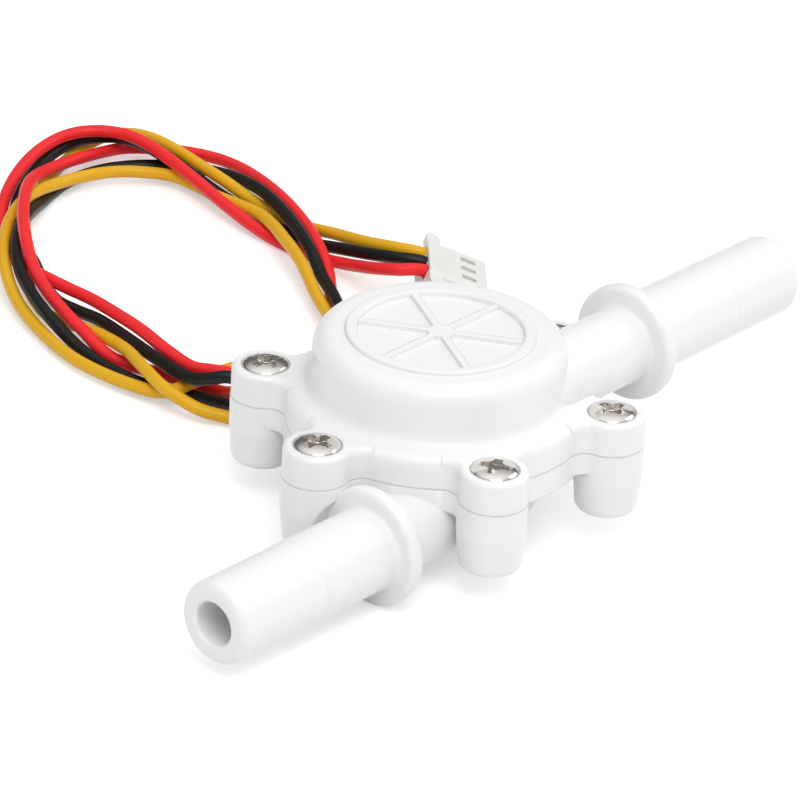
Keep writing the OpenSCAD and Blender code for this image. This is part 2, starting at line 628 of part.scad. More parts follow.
module rotor() {
    color("dimgray")
        difference() {
            union() {
                translate([0, 0, hub_z]) cylinder(r = hub_r, h = hub_top_z - hub_z);
                translate([0, 0, disc_z]) cylinder(r = disc_r, h = disc_t);
                for (k = [0 : blade_n - 1])
                    rotate([0, 0, 360 * k / blade_n])
                        translate([hub_r - bite, -blade_t / 2, blade_z])
                            cube([blade_r - hub_r + bite, blade_t, blade_h + bite]);
            }
            translate([0, 0, hub_z - bite])
                cylinder(r = hub_bore_r, h = hub_top_z - hub_z + 2 * bite);
            translate([0, 0, magnet_z])
                difference() {
                    cylinder(r = magnet_r + magnet_gap, h = disc_t);
                    translate([0, 0, -bite])
                        cylinder(r = magnet_r - magnet_w - magnet_gap, h = disc_t + 2 * bite);
                }
        }
}

module rotor_magnet() {
    color("darkslategray")
        translate([0, 0, magnet_z])
            difference() {
                cylinder(r = magnet_r, h = magnet_h);
                translate([0, 0, -bite]) cylinder(r = magnet_r - magnet_w, h = magnet_h + 2 * bite);
            }
}

module rotor_shaft() {
    color("silver")
        translate([0, 0, lower_seat_z - shaft_seat])
            cylinder(r = shaft_r, h = upper_seat_z - lower_seat_z + 2 * shaft_seat);
}

module washer(z) {
    color("ivory")
        translate([0, 0, z])
            difference() {
                cylinder(r = washer_r, h = washer_t);
                translate([0, 0, -bite]) cylinder(r = hub_bore_r, h = washer_t + 2 * bite);
            }
}

// Outline of the cross recess, with its four inner corners cut back
function cross_outline() =
    let (w = cross_w / 2, l = cross_l / 2, c = cross_w / 2 + cross_corner)
    [for (k = [0 : 3]) let (a = 90 * k)
        each [for (q = [[l, -w * cross_narrowing], [l, w * cross_narrowing], [c, w], [w, c]])
            [q.x * cos(a) - q.y * sin(a), q.x * sin(a) + q.y * cos(a)]]];

module cover_screw(k) {
    color("silver")
        rotate([0, 0, 60 * k])
            translate([boss_circle_r, 0, 0])
                difference() {
                    rotate_extrude()
                        polygon(concat(
                            [[0, seat_z - shank_l], [thread_r - tip_inset, seat_z - shank_l],
                                [thread_r, seat_z - shank_l + tip_l], [thread_r, seat_z],
                                [head_r, seat_z]],
                            [for (i = [0 : 9])
                                [head_r * cos(10 * i),
                                    seat_z + head_rim_h + head_dome_h * sin(10 * i)]]));
                    translate([0, 0, seat_z + head_rim_h + head_dome_h - cross_depth])
                        rotate([0, 0, cross_turn[k - 1] - 60 * k])
                            linear_extrude(cross_depth + bite) polygon(cross_outline());
                }
}

module sensor_board() {
    color("seagreen")
        translate([-board_w / 2, board_y, board_z]) cube([board_w, board_t, board_h]);
}

module sensor_chip() {
    color("dimgray") {
        translate([-chip_w / 2, chip_y, chip_z]) cube([chip_w, chip_t, chip_h]);
        for (i = [-1 : 1])
            translate([i * chip_pitch - leg_w / 2, chip_y + chip_t / 2, chip_z - leg_w]) {
                cube([leg_w, leg_w, leg_w + bite]);
                cube([leg_w, board_y - chip_y - chip_t / 2, leg_w]);
            }
    }
}

// Small two-ended part on the front of the board, left or right of the chip's legs
module board_part(side) {
    l = small_part_l;
    w = small_part_w;
    translate([side * (board_w / 2 - l / 2 - 2 * small_part_gap) - l / 2, board_y - w,
            board_z + small_part_gap])
        cube([l, w, w]);
}

module board_capacitor() {
    color("tan") board_part(-1);
}

module board_resistor() {
    color("black") board_part(1);
}

module potting() {
    color("ivory")
        translate([-pocket_w / 2, potting_y, pocket_z])
            cube([pocket_w, wire_y - potting_y, pocket_h]);
}

// The connector's own frame: nose along +X, terminals in a row along Y, wires at height 0
module plug_place() {
    translate(plug_at) rotate([0, plug_dip, plug_yaw]) children();
}

module connector_housing() {
    c = edge_c;
    w = plug_w / 2;
    low = plug_top_t - plug_t;
    color("antiquewhite")
        plug_place()
            difference() {
                union() {
                    rotate([90, 0, 90])
                        linear_extrude(plug_l)
                            polygon([[-w, low + c], [-w + c, low], [w - c, low], [w, low + c],
                                [w, plug_top_t - c], [w - c, plug_top_t],
                                [-w + c, plug_top_t], [-w, plug_top_t - c]]);
                    ear();
                    mirror([0, 1, 0]) ear();
                }
                for (i = [-1 : 1])
                    translate([-bite, i * pin_pitch - cavity_w / 2, -cavity_w / 2])
                        cube([plug_l + 2 * bite, cavity_w, cavity_w]);
                for (i = [-1 : 1])
                    translate([plug_l - window_set - window_l, i * pin_pitch - window_w / 2, 0])
                        cube([window_l, window_w, plug_t]);
            }
}

// Finger ear on one narrow end, with a rounded tip
module ear() {
    tip = ear_l / 2;
    translate([0, 0, plug_top_t - ear_t - 0.2])
        linear_extrude(ear_t) {
            translate([0, plug_w / 2 - bite]) square([ear_l, ear_h + bite - tip]);
            translate([tip, plug_w / 2 + ear_h - tip]) circle(tip);
        }
}

module crimp_terminal(k) {
    color("goldenrod")
        plug_place()
            translate([terminal_x, (k - 2) * pin_pitch, 0])
                difference() {
                    translate([0, -terminal_w / 2, -cavity_w / 2]) cube([terminal_l, terminal_w, terminal_w]);
                    translate([1, 0, (terminal_w - cavity_w) / 2])
                        rotate([0, 90, 0]) cylinder(d = pin_hole_d, h = terminal_l);
                }
}

// Tube of wire_sides sides through the points
module wire(points) {
    last = len(points) - 1;
    rings = [for (i = [0 : last])
        let (
            d = points[min(i + 1, last)] - points[max(i - 1, 0)],
            side = cross(d, [0, 0, 1]) / norm(cross(d, [0, 0, 1])),
            up = cross(side, d) / norm(d))
        [for (k = [0 : wire_sides - 1])
            let (a = 360 * (k + 0.5) / wire_sides)
            points[i] + wire_d / 2 * (cos(a) * side + sin(a) * up)]];
    polyhedron(
        points = [for (r = rings) each r],
        faces = concat(
            [[for (k = [0 : wire_sides - 1]) k]],
            [for (i = [0 : last - 1], k = [0 : wire_sides - 1])
                let (a = i * wire_sides + k, b = i * wire_sides + (k + 1) % wire_sides)
                [a, a + wire_sides, b + wire_sides, b]],
            [[for (k = [wire_sides - 1 : -1 : 0]) last * wire_sides + k]]));
}

module wire_red() {
    color("red") wire(wire_points(-1, red_route));
}

module wire_black() {
    color("black") wire(wire_points(0, black_route));
}

module wire_yellow() {
    color("gold") wire(wire_points(1, yellow_route));
}

base_housing();
top_cover();
seal_ring();
rotor();
rotor_magnet();
rotor_shaft();
washer(lower_seat_z);  // lower_washer
washer(upper_seat_z - washer_t);  // upper_washer
cover_screw(1);  // cover_screw_1
cover_screw(2);  // cover_screw_2
cover_screw(3);  // cover_screw_3
cover_screw(4);  // cover_screw_4
cover_screw(5);  // cover_screw_5
cover_screw(6);  // cover_screw_6
sensor_board();
sensor_chip();
board_capacitor();
board_resistor();
potting();
connector_housing();
crimp_terminal(1);  // crimp_terminal_1
crimp_terminal(2);  // crimp_terminal_2
crimp_terminal(3);  // crimp_terminal_3
wire_red();
wire_black();
wire_yellow();
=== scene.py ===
"""Finishes a small moulded water flow sensor: housings, screws, wires, connector and stage."""

import json
import math

import bpy
from mathutils import Matrix, Vector


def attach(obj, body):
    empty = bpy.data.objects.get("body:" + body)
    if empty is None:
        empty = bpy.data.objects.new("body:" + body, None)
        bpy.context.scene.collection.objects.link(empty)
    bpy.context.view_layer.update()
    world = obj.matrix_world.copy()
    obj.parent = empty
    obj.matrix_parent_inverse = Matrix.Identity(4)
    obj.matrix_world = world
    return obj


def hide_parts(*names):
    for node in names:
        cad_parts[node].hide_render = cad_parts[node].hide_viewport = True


bl_info = {
    "name": "Water Flow Sensor",
    "version": (1, 0, 0),
    "blender": (4, 5, 0),
    "location": "3D Viewport > Sidebar > Flow Sensor",
    "description": "Finishes a small water flow sensor with its wires and connector",
    "category": "Object",
}

MM = 0.001
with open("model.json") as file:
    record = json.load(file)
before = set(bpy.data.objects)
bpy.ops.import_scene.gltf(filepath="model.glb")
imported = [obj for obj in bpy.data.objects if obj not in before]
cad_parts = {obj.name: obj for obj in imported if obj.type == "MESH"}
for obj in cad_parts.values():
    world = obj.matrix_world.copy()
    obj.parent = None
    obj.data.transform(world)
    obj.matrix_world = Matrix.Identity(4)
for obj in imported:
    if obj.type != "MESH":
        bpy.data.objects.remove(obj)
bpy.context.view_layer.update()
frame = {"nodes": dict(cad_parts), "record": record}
NODES = frame["nodes"]

MOUNTS = {m["name"]: m for m in frame["record"]["mounts"]}

# The connector lies with its nose on the surface, turned and with its rear end raised
PLUG_YAW = math.radians(-46)
PLUG_DIP = math.radians(22)
PLUG_LENGTH = 6.4 * MM
PLUG_BELOW_WIRES = 2.4 * MM
PLUG_REAR = (32.5 * MM, 30.2 * MM)
TERMINAL_REAR = 1.2 * MM
PIN_PITCH = 2 * MM
PLUG_EXIT = 0.5 * MM

# Wires where they leave the potting
WIRE_PITCH = 2 * MM
EXIT_Y = 15.7 * MM
EXIT_Z = 6 * MM
EXIT_RUN = Vector((0, 3.3, -0.2)) * MM

# Route of each wire between the potting and the connector, in millimetres
RED_ROUTE = [
    (0.6, 25.53, 2.7), (1.63, 27.42, 1.8), (2.12, 29.5, 0.94), (1.07, 35.49, 0.74),
    (-0.31, 41.66, 0.79), (-0.39, 44.11, 1.39), (-0.1, 46.22, 2.09), (0.28, 48.21, 2.43),
    (0.9, 50.3, 2.69), (2.28, 53.71, 2.87), (4.01, 57.19, 3.18), (5.71, 59.93, 3.86),
    (7.67, 62.57, 4.53), (10.33, 65.58, 4.77), (13.42, 68.51, 4.71), (17.39, 71.78, 4.06),
    (21.97, 74.27, 2.88), (28.83, 75.67, 1.81), (35.04, 75.31, 1.12), (37.27, 73.7, 0.96),
    (38.81, 71.51, 0.96), (39.99, 69.2, 0.98), (40.57, 66.62, 1.07), (40.11, 63.07, 1.43),
    (38.91, 59.24, 1.84), (37.03, 54.5, 2.21), (34.74, 49.8, 2.45), (32.42, 45.71, 2.53),
    (30, 41.97, 2.35), (28.06, 39.3, 1.85), (25.84, 36.86, 1.31), (22.6, 34.02, 0.71),
    (18.92, 31.23, 0.7), (14.99, 28.29, 0.77), (10.95, 26.1, 0.9), (7.28, 25.49, 1.29),
    (4.02, 25.78, 1.98), (2.34, 26.51, 3.09), (1.15, 27.7, 4.01), (0.52, 29.48, 3.87),
    (0.42, 31.72, 3.39), (1.27, 36.14, 3.3), (2.62, 41.04, 3.28), (3.91, 45.79, 2.88),
    (4.98, 50.34, 2.46), (5.23, 53.76, 2.29), (5.35, 56.99, 2.27), (5.63, 59.82, 2.16),
    (6.39, 62.51, 1.84), (7.94, 65.38, 1.62), (9.93, 68.12, 1.61), (12.01, 70.49, 1.87),
    (14.42, 72.62, 2.24), (17.74, 74.88, 2.63), (21.37, 76.73, 2.98), (24.98, 78.06, 3.12),
    (28.32, 78.52, 3.28), (30.33, 77.82, 3.56), (31.94, 76.58, 3.68), (33.06, 75.1, 3.69),
    (33.74, 73.28, 3.64), (33.79, 70.44, 3.48), (33.41, 67.31, 3.2), (33, 64.07, 2.73),
    (32.44, 60.76, 2.24), (31.71, 57.07, 1.78), (31.16, 53.4, 1.32), (31.07, 50.29, 0.87),
    (31.07, 47.14, 0.7), (30.91, 42.83, 1.09), (30.44, 38.69, 2.06), (29.59, 36.14, 3.03),
    (28.89, 33.88, 3.91), (28.71, 32.08, 4.52), (28.96, 30.56, 4.91),
]
BLACK_ROUTE = [
    (0.45, 24.16, 1.87), (0.62, 25.93, 1.03), (0.72, 27.85, 0.7), (-0.43, 31.7, 0.7),
    (-1.93, 35.59, 0.75), (-2.21, 38.18, 0.76), (-2.16, 40.67, 0.79), (-1.89, 43.26, 0.86),
    (-1.46, 45.84, 1.1), (-1.16, 48.32, 1.79), (-0.66, 50.86, 2.49), (0.75, 54.24, 2.78),
    (2.61, 57.6, 2.92), (4.6, 60.46, 3.17), (6.91, 63.03, 3.33), (9.4, 65.16, 3.38),
    (12.14, 67.13, 3.01), (15.63, 69.54, 2.03), (19.21, 71.71, 1.11), (22.22, 73.16, 0.76),
    (25.25, 73.96, 0.75), (28.21, 73.96, 0.75), (31.04, 73.21, 0.77), (33.76, 71.49, 0.79),
    (35.97, 69.18, 0.84), (37.26, 66.92, 0.94), (37.89, 64.37, 1.17), (37.53, 60.88, 1.71),
    (36.43, 57.13, 2.31), (34.52, 52.58, 2.7), (32.25, 48.2, 2.88), (30.39, 45.01, 2.94),
    (28.57, 42.16, 2.88), (27.26, 40.23, 2.68), (25.84, 38.2, 2.52), (22.8, 33.62, 2.76),
    (18.97, 29.02, 3.02), (14.52, 25.68, 2.46), (9.94, 23.59, 1.88), (6.27, 23.18, 2.29),
    (3.01, 23.73, 2.97), (1.23, 24.96, 3.9), (-0.17, 26.54, 4.5), (-1.06, 28.03, 4.05),
    (-1.48, 29.8, 3.49), (-1.13, 32.59, 3.22), (-0.19, 35.9, 2.87), (1.75, 41.79, 2.22),
    (3.53, 47.78, 1.56), (3.96, 51.32, 1.14), (4.5, 54.57, 0.83), (5.93, 57.88, 0.99),
    (7.57, 61.1, 1.79), (9.28, 64.44, 2.02), (11.38, 67.55, 1.81), (13.92, 70.43, 1.64),
    (16.77, 72.98, 1.58), (19.74, 75.09, 1.56), (22.84, 76.8, 1.61), (25.87, 78.06, 1.69),
    (28.78, 78.63, 1.93), (31.02, 78.24, 2.26), (32.9, 77.18, 2.4), (33.97, 75.73, 2.62),
    (34.63, 73.92, 2.65), (34.94, 71.34, 2.45), (34.96, 68.49, 2.08), (35.07, 65.16, 1.43),
    (34.93, 61.65, 0.82), (34.31, 57.54, 0.7), (33.68, 53.53, 0.73), (33.43, 50.5, 0.7),
    (33.18, 47.62, 0.7), (32.75, 44.88, 1.29), (32.21, 42.2, 2.14), (31.57, 39.3, 3.04),
    (31.08, 36.47, 3.85), (30.91, 34.28, 4.45), (31.06, 32.39, 4.85),
]
YELLOW_ROUTE = [
    (3.47, 25.27, 4.05), (3.96, 27.49, 3.54), (3.99, 29.33, 3.03), (2.39, 30.97, 2.13),
    (-0.02, 31.29, 2.04), (-2.31, 31.87, 1.74), (-3.11, 33.22, 1.38), (-3.55, 35.03, 1.29),
    (-3.95, 38.92, 1.21), (-3.82, 43.19, 1.16), (-3.08, 46.71, 1.11), (-2.02, 50.05, 1.14),
    (-0.99, 53.09, 1.37), (0.23, 55.95, 1.71), (1.66, 58.53, 2.17), (3.35, 60.98, 2.6),
    (5.48, 63.47, 2.82), (7.99, 65.8, 2.98), (11.37, 68.35, 3.12), (15.09, 70.46, 2.97),
    (18.76, 71.83, 2.54), (22.43, 72.47, 2.04), (25.92, 72.23, 1.79), (29.1, 71.16, 1.65),
    (31.63, 69.15, 1.52), (33.36, 66.53, 1.42), (33.67, 63.51, 1.32), (33.4, 60.25, 1.3),
    (33.1, 56.59, 1.63), (32.42, 52.96, 2.03), (30.92, 49.66, 2.43), (29.13, 46.55, 2.72),
    (27.75, 43.97, 2.76), (26.3, 41.44, 2.68), (24.48, 38.68, 2.46), (22.5, 35.69, 2.23),
    (19.71, 30.76, 1.86), (16.43, 26.12, 1.44), (12.77, 23.27, 1.1), (8.81, 21.52, 0.81),
    (4.99, 21.07, 0.73), (1.62, 21.72, 0.71), (-0.06, 23.33, 0.74), (-1.22, 25.27, 0.93),
    (-2.73, 27.53, 1.41), (-3.45, 29.47, 2.04), (-3.7, 31.76, 2.66), (-2.32, 35.7, 2.75),
    (-0.36, 39.96, 2.38), (0.99, 44.12, 1.77), (1.76, 48.04, 1.15), (1.53, 50.42, 1),
    (1.44, 52.69, 0.91), (2.82, 55.96, 0.8), (5, 59.26, 0.7), (7.83, 62.81, 0.7),
    (11.13, 66.09, 0.7), (14.27, 69.3, 0.7), (17.52, 72.16, 0.7), (20.56, 74.05, 0.7),
    (23.74, 75.61, 0.71), (27.4, 77.4, 0.7), (30.94, 78.59, 0.71), (33.44, 78.64, 1.18),
    (35.45, 77.87, 1.72), (36.45, 75.77, 2.22), (36.82, 73, 2.52), (36.78, 69.55, 2.42),
    (36.45, 65.86, 2.12), (36.04, 61.75, 1.8), (35.56, 57.69, 1.35), (35.54, 54.5, 0.83),
    (35.56, 51.38, 0.7), (34.96, 47.8, 1.4), (34.17, 44.26, 2.39), (33.4, 41.05, 3.22),
    (32.79, 38.04, 3.99), (32.55, 35.83, 4.54), (32.63, 33.91, 4.9),
]

# Camera: angles and the place of the housing's centre in the view
CAMERA_AZIMUTH = math.radians(-49.27)
CAMERA_ELEVATION = math.radians(27.44)
CAMERA_ROLL = math.radians(-2.95)
CAMERA_DISTANCE = 500 * MM
CAMERA_RIGHT = -3.532 * MM
CAMERA_UP = -1.168 * MM
BOSS_TOP_Z = 13.4 * MM
FOCAL_PIXELS = 5366.5
IMAGE_PIXELS = 800
SENSOR_WIDTH = 36

# Stage: the floor's half width, and the lamps' sizes and places
FLOOR_HALF = 1.5
FLOOR_GLOW = 0.42
LOW_SKY_SHARE = 0.62
REFLECTED_SKY = (0.14, 1.0)
KEY_SIZE = 0.4
KEY_PLACE = Vector((-0.25, -0.3, 0.6))
FILL_SIZE = 0.5
FILL_PLACE = Vector((0.5, -0.2, 0.35))
LAMP_AIM = Vector((0, 0.01, 0.01))

# Moulding rings: half their width, and their places along the stems
RING_HALF_WIDTH = 0.14 * MM
RING_STEPS = 96
INLET_RING_X = -26.6 * MM
OUTLET_RING_X = 31 * MM


def plug_point(along, across):
    """A point in the connector's own frame, given in the part's frame."""
    height = PLUG_LENGTH * math.sin(PLUG_DIP) + PLUG_BELOW_WIRES * math.cos(PLUG_DIP)
    at = Vector((*PLUG_REAR, height))
    turn = Matrix.Rotation(PLUG_YAW, 3, "Z") @ Matrix.Rotation(PLUG_DIP, 3, "Y")
    return at + turn @ Vector((along, across, 0))


# Sizes, colours and levels that a user would change


class WireSettings(bpy.types.PropertyGroup):
    diameter: bpy.props.FloatProperty(
        name="Diameter", description="Outside diameter of each wire", default=1.3 * MM,
        min=1.0 * MM, max=1.5 * MM, unit="LENGTH")
    red: bpy.props.FloatVectorProperty(
        name="Red", description="Colour of the supply wire", subtype="COLOR", size=3,
        default=(0.86, 0.02, 0.026), min=0, max=1)
    black: bpy.props.FloatVectorProperty(
        name="Black", description="Colour of the ground wire", subtype="COLOR", size=3,
        default=(0.007, 0.007, 0.007), min=0, max=1)
    yellow: bpy.props.FloatVectorProperty(
        name="Yellow", description="Colour of the signal wire", subtype="COLOR", size=3,
        default=(0.76, 0.41, 0.008), min=0, max=1)
    sides: bpy.props.IntProperty(
        name="Sides", description="Sides of each wire's tube", default=16, min=8, max=32)


class HousingSettings(bpy.types.PropertyGroup):
    plastic: bpy.props.FloatVectorProperty(
        name="Plastic", description="Colour of the moulded housing", subtype="COLOR", size=3,
        default=(0.86, 0.86, 0.865), min=0, max=1)
    connector: bpy.props.FloatVectorProperty(
        name="Connector", description="Colour of the connector housing", subtype="COLOR", size=3,
        default=(0.8, 0.79, 0.76), min=0, max=1)
    soft_edge: bpy.props.FloatProperty(
        name="Soft edge", description="Radius that softens the moulded edges", default=0.25 * MM,
        min=0.05 * MM, max=0.6 * MM, unit="LENGTH")
    witness: bpy.props.FloatProperty(
        name="Witness line", description="Height of the fine moulding rings round the stems",
        default=0.02 * MM, min=0.01 * MM, max=0.1 * MM, unit="LENGTH")


class ScrewSettings(bpy.types.PropertyGroup):
    nickel: bpy.props.FloatVectorProperty(
        name="Nickel", description="Colour of the plated screws", subtype="COLOR", size=3,
        default=(0.86, 0.83, 0.79), min=0, max=1)


class StageSettings(bpy.types.PropertyGroup):
    key: bpy.props.FloatProperty(
        name="Key light", description="Power of the large soft light", default=2.0, min=0, max=20)
    fill: bpy.props.FloatProperty(
        name="Fill light", description="Power of the light on the other side", default=0.85, min=0, max=20)
    ambient: bpy.props.FloatProperty(
        name="Ambient", description="Level of the light from all round", default=0.8, min=0, max=2)


# Materials


def add(tree, kind, x, y, **values):
    """A node of a material or geometry tree at a place, with its attributes set."""
    node = tree.nodes.new(kind)
    node.location = (x, y)
    for name, value in values.items():
        setattr(node, name, value)
    return node


def mottle_group():
    """Shader group: soft mottle from two sizes of noise, as a value, a height and a mix of two colours."""
    name = "Mould Mottle"
    if name in bpy.data.node_groups:
        return bpy.data.node_groups[name]
    group = bpy.data.node_groups.new(name, "ShaderNodeTree")
    face = group.interface
    for label, kind, default in (
        ("Vector", "NodeSocketVector", None),
        ("Coarse Scale", "NodeSocketFloat", 150.0),
        ("Fine Scale", "NodeSocketFloat", 2500.0),
        ("Fine Share", "NodeSocketFloat", 0.5),
        ("Low Colour", "NodeSocketColor", (0.5, 0.5, 0.5, 1)),
        ("High Colour", "NodeSocketColor", (0.6, 0.6, 0.6, 1)),
        ("Low Roughness", "NodeSocketFloat", 0.3),
        ("High Roughness", "NodeSocketFloat", 0.4),
    ):
        socket = face.new_socket(label, in_out="INPUT", socket_type=kind)
        if default is not None:
            socket.default_value = default
    for label, kind in (("Colour", "NodeSocketColor"), ("Roughness", "NodeSocketFloat"),
                        ("Height", "NodeSocketFloat")):
        face.new_socket(label, in_out="OUTPUT", socket_type=kind)
    source = add(group, "NodeGroupInput", -900, 0)
    result = add(group, "NodeGroupOutput", 500, 0)
    coarse = add(group, "ShaderNodeTexNoise", -600, 150)
    coarse.inputs["Detail"].default_value = 3
    fine = add(group, "ShaderNodeTexNoise", -600, -150)
    fine.inputs["Detail"].default_value = 2
    both = add(group, "ShaderNodeMix", -300, 0, data_type="FLOAT")
    colour = add(group, "ShaderNodeMix", 100, 200, data_type="RGBA")
    rough = add(group, "ShaderNodeMix", 100, -50, data_type="FLOAT")
    link = group.links.new
    link(source.outputs["Vector"], coarse.inputs["Vector"])
    link(source.outputs["Vector"], fine.inputs["Vector"])
    link(source.outputs["Coarse Scale"], coarse.inputs["Scale"])
    link(source.outputs["Fine Scale"], fine.inputs["Scale"])
    link(source.outputs["Fine Share"], both.inputs[0])
    link(coarse.outputs["Fac"], both.inputs[2])
    link(fine.outputs["Fac"], both.inputs[3])
    link(both.outputs[0], colour.inputs[0])
    link(source.outputs["Low Colour"], colour.inputs[6])
    link(source.outputs["High Colour"], colour.inputs[7])
    link(both.outputs[0], rough.inputs[0])
    link(source.outputs["Low Roughness"], rough.inputs[2])
    link(source.outputs["High Roughness"], rough.inputs[3])
    link(colour.outputs[2], result.inputs["Colour"])
    link(rough.outputs[0], result.inputs["Roughness"])
    link(both.outputs[0], result.inputs["Height"])
    return group


def shade(colour, factor):
    return tuple(min(1, c * factor) for c in colour[:3]) + (1,)


def finish_material(name, colour, spread, roughness, coarse, fine, share=0.5, bump=0.0, depth=0.02 * MM,
                    metallic=0.0, coat=0.0, soft_edge=0.0, along_surface=False, specular=0.5):
    """A material whose colour, roughness and bump vary with the mottle group."""
    if name in bpy.data.materials:
        return bpy.data.materials[name]
    material = bpy.data.materials.new(name)
    material.use_nodes = True
    tree = material.node_tree
    tree.nodes.clear()
    out = add(tree, "ShaderNodeOutputMaterial", 600, 0)
    skin = add(tree, "ShaderNodeBsdfPrincipled", 300, 0)
    skin.inputs["Metallic"].default_value = metallic
    skin.inputs["Coat Weight"].default_value = coat
    skin.inputs["Coat Roughness"].default_value = 0.15
    skin.inputs["Specular IOR Level"].default_value = specular
    place = add(tree, "ShaderNodeTexCoord", -600, 0)
    mottle = add(tree, "ShaderNodeGroup", -300, 0)
    mottle.node_tree = mottle_group()
    mottle.inputs["Coarse Scale"].default_value = coarse
    mottle.inputs["Fine Scale"].default_value = fine
    mottle.inputs["Fine Share"].default_value = share
    mottle.inputs["Low Colour"].default_value = shade(colour, 1 - spread)
    mottle.inputs["High Colour"].default_value = shade(colour, 1 + spread)
    mottle.inputs["Low Roughness"].default_value = roughness[0]
    mottle.inputs["High Roughness"].default_value = roughness[1]
    link = tree.links.new
    link(place.outputs["UV" if along_surface else "Object"], mottle.inputs["Vector"])
    link(mottle.outputs["Colour"], skin.inputs["Base Color"])
    link(mottle.outputs["Roughness"], skin.inputs["Roughness"])
    normal = None
    if soft_edge:
        bevel = add(tree, "ShaderNodeBevel", -300, -300, samples=6)
        bevel.inputs["Radius"].default_value = soft_edge
        normal = bevel.outputs["Normal"]
    if bump:
        relief = add(tree, "ShaderNodeBump", 0, -250)
        relief.inputs["Strength"].default_value = bump
        relief.inputs["Distance"].default_value = depth
        link(mottle.outputs["Height"], relief.inputs["Height"])
        if normal:
            link(normal, relief.inputs["Normal"])
        normal = relief.outputs["Normal"]
    if normal:
        link(normal, skin.inputs["Normal"])
    link(skin.outputs["BSDF"], out.inputs["Surface"])
    return material


def dress(material, *names):
    """Gives CAD nodes a material in every slot."""
    for name in names:
        mesh = NODES[name].data
        if not mesh.materials:
            mesh.materials.append(material)
        for i in range(len(mesh.materials)):
            mesh.materials[i] = material


# Shapes


def smooth_path(points, steps):
    """A smooth curve through the points, with chord-length knots so that it stays close to them."""
    whole = [points[0] * 2 - points[1]] + points + [points[-1] * 2 - points[-2]]
    path = []
    for a, b, c, d in zip(whole, whole[1:], whole[2:], whole[3:]):
        t1 = (b - a).length ** 0.5
        t2 = t1 + (c - b).length ** 0.5
        t3 = t2 + (d - c).length ** 0.5
        for i in range(steps):
            t = t1 + (t2 - t1) * i / steps
            ab = a.lerp(b, t / t1)
            bc = b.lerp(c, (t - t1) / (t2 - t1))
            cd = c.lerp(d, (t - t2) / (t3 - t2))
            path.append(ab.lerp(bc, t / t2).lerp(bc.lerp(cd, (t - t1) / (t3 - t1)), (t - t1) / (t2 - t1)))
    path.append(points[-1])
    return path


def tube_tree():
    """Geometry tree that turns a line into a capped tube with a radius, a number of sides and a material."""
    name = "Wire Tube"
    if name in bpy.data.node_groups:
        return bpy.data.node_groups[name]
    tree = bpy.data.node_groups.new(name, "GeometryNodeTree")
    face = tree.interface
    face.new_socket("Geometry", in_out="INPUT", socket_type="NodeSocketGeometry")
    radius = face.new_socket("Radius", in_out="INPUT", socket_type="NodeSocketFloat")
    radius.default_value = 0.65 * MM
    sides = face.new_socket("Sides", in_out="INPUT", socket_type="NodeSocketInt")
    sides.default_value = 16
    face.new_socket("Material", in_out="INPUT", socket_type="NodeSocketMaterial")
    face.new_socket("Geometry", in_out="OUTPUT", socket_type="NodeSocketGeometry")
    source = add(tree, "NodeGroupInput", -800, 0)
    result = add(tree, "NodeGroupOutput", 900, 0)
    line = add(tree, "GeometryNodeMeshToCurve", -600, 0)
    length = add(tree, "GeometryNodeSplineParameter", -600, -300)
    keep_length = add(tree, "GeometryNodeCaptureAttribute", -400, 0, domain="POINT")
    keep_length.capture_items.new("FLOAT", "Along")
    round_line = add(tree, "GeometryNodeCurvePrimitiveCircle", -400, -300)
    around = add(tree, "GeometryNodeSplineParameter", -400, -500)
    keep_around = add(tree, "GeometryNodeCaptureAttribute", -200, -300, domain="POINT")
    keep_around.capture_items.new("FLOAT", "Around")
    tube = add(tree, "GeometryNodeCurveToMesh", 0, 0)
    tube.inputs["Fill Caps"].default_value = True
    both = add(tree, "ShaderNodeCombineXYZ", 0, -300)
    store = add(tree, "GeometryNodeStoreNamedAttribute", 250, 0, data_type="FLOAT2", domain="CORNER")
    store.inputs["Name"].default_value = "UVMap"
    smooth = add(tree, "GeometryNodeSetShadeSmooth", 450, 0)
    whole = add(tree, "GeometryNodeRealizeInstances", 600, 0)
    paint = add(tree, "GeometryNodeSetMaterial", 750, 0)
    link = tree.links.new
    link(source.outputs["Geometry"], line.inputs["Mesh"])
    link(line.outputs["Curve"], keep_length.inputs["Geometry"])
    link(length.outputs["Length"], keep_length.inputs["Along"])
    link(source.outputs["Sides"], round_line.inputs["Resolution"])
    link(source.outputs["Radius"], round_line.inputs["Radius"])
    link(round_line.outputs["Curve"], keep_around.inputs["Geometry"])
    link(around.outputs["Length"], keep_around.inputs["Around"])
    link(keep_length.outputs["Geometry"], tube.inputs["Curve"])
    link(keep_around.outputs["Geometry"], tube.inputs["Profile Curve"])
    link(keep_length.outputs["Along"], both.inputs["X"])
    link(keep_around.outputs["Around"], both.inputs["Y"])
    link(tube.outputs["Mesh"], store.inputs["Geometry"])
    link(both.outputs["Vector"], store.inputs["Value"])
    link(store.outputs["Geometry"], smooth.inputs["Geometry"])
    link(smooth.outputs["Geometry"], whole.inputs["Geometry"])
    link(whole.outputs["Geometry"], paint.inputs["Geometry"])
    link(source.outputs["Material"], paint.inputs["Material"])
    link(paint.outputs["Geometry"], result.inputs["Geometry"])
    return tree


